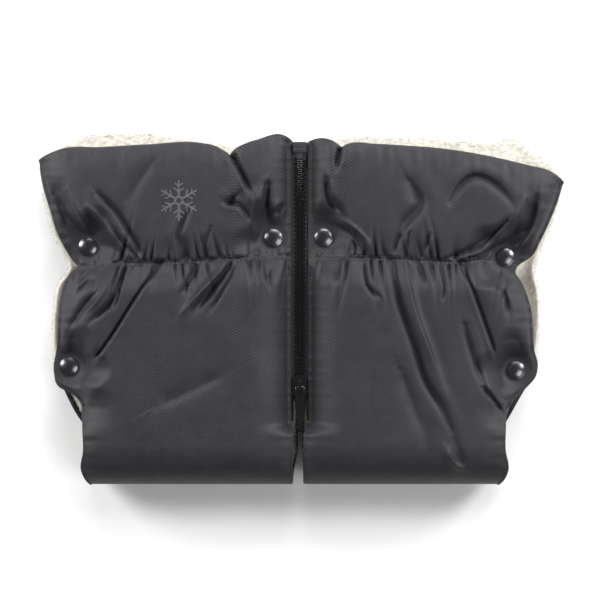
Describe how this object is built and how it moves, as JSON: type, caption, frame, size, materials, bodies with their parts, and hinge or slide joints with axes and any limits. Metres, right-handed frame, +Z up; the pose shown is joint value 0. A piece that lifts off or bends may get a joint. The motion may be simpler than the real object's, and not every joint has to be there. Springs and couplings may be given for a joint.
{
  "type": "hand warmer muff",
  "caption": "Padded two-half hand muff for a pram handlebar, fleece lined, with a separating zip, gathered waist, flared collar and press studs.",
  "frame": {"origin": "under the middle of the muff on the surface it lies on", "axes": "+X to the right along the fold, +Y from the fold to the collar, +Z up out of the front"},
  "size_m": [0.4216, 0.283, 0.06],
  "materials": {
    "shell_fabric": "woven polyester, slight sheen",
    "fleece": "long pile fleece",
    "wadding": "loose polyester wadding",
    "elastic": "braided elastic",
    "zip_tape": "woven tape",
    "zip_plastic": "moulded acetal",
    "zip_slider_paint": "gloss enamel over cast zinc",
    "stud_metal": "dark plated, satin"
  },
  "bodies": {
    "back": {"body_wadding_back_left": "wadding", "body_wadding_back_right": "wadding", "collar_wadding_back_left": "wadding", "collar_wadding_back_right": "wadding", "elastic_back_left": "elastic", "elastic_back_right": "elastic", "lining_back_left": "fleece", "lining_back_right": "fleece", "shell_back_left": "shell_fabric", "shell_back_right": "shell_fabric", "stud_knob_inner_left": "stud_metal", "stud_knob_inner_right": "stud_metal", "stud_knob_lower_outer_left": "stud_metal", "stud_knob_lower_outer_right": "stud_metal", "stud_knob_upper_outer_left": "stud_metal", "stud_knob_upper_outer_right": "stud_metal", "stud_post_inner_left": "stud_metal", "stud_post_inner_right": "stud_metal", "stud_post_lower_outer_left": "stud_metal", "stud_post_lower_outer_right": "stud_metal", "stud_post_upper_outer_left": "stud_metal", "stud_post_upper_outer_right": "stud_metal"},
    "front": {"body_wadding_front_left": "wadding", "body_wadding_front_right": "wadding", "collar_wadding_front_left": "wadding", "collar_wadding_front_right": "wadding", "elastic_front_left": "elastic", "elastic_front_right": "elastic", "lining_front_left": "fleece", "lining_front_right": "fleece", "shell_front_left": "shell_fabric", "shell_front_right": "shell_fabric", "stud_cap_inner_left": "stud_metal", "stud_cap_inner_right": "stud_metal", "stud_cap_lower_outer_left": "stud_metal", "stud_cap_lower_outer_right": "stud_metal", "stud_cap_upper_outer_left": "stud_metal", "stud_cap_upper_outer_right": "stud_metal", "stud_socket_inner_left": "stud_metal", "stud_socket_inner_right": "stud_metal", "stud_socket_lower_outer_left": "stud_metal", "stud_socket_lower_outer_right": "stud_metal", "stud_socket_upper_outer_left": "stud_metal", "stud_socket_upper_outer_right": "stud_metal", "zip_insertion_pin": "zip_plastic", "zip_retainer_box": "zip_plastic", "zip_stop_left": "zip_plastic", "zip_stop_right": "zip_plastic", "zip_tape_left": "zip_tape", "zip_tape_right": "zip_tape", "zip_teeth_left": "zip_plastic", "zip_teeth_right": "zip_plastic"},
    "slider": {"zip_slider": "zip_slider_paint"},
    "pull_tab": {"zip_pull_tab": "zip_slider_paint"}
  },
  "joints": [
    {"name": "front_fold", "type": "hinge", "parent": "back", "child": "front", "pos_m": [0, -0.1415, 0.03], "axis": [1, 0, 0], "range_deg": [0, 175]},
    {"name": "slider_run", "type": "slide", "parent": "front", "child": "slider", "axis": [0, 1, 0], "range_m": [0, 0.16]},
    {"name": "pull_turn", "type": "hinge", "parent": "slider", "child": "pull_tab", "pos_m": [0, -0.063, 0.0399], "axis": [-1, 0, 0], "range_deg": [0, 145]}
  ]
}
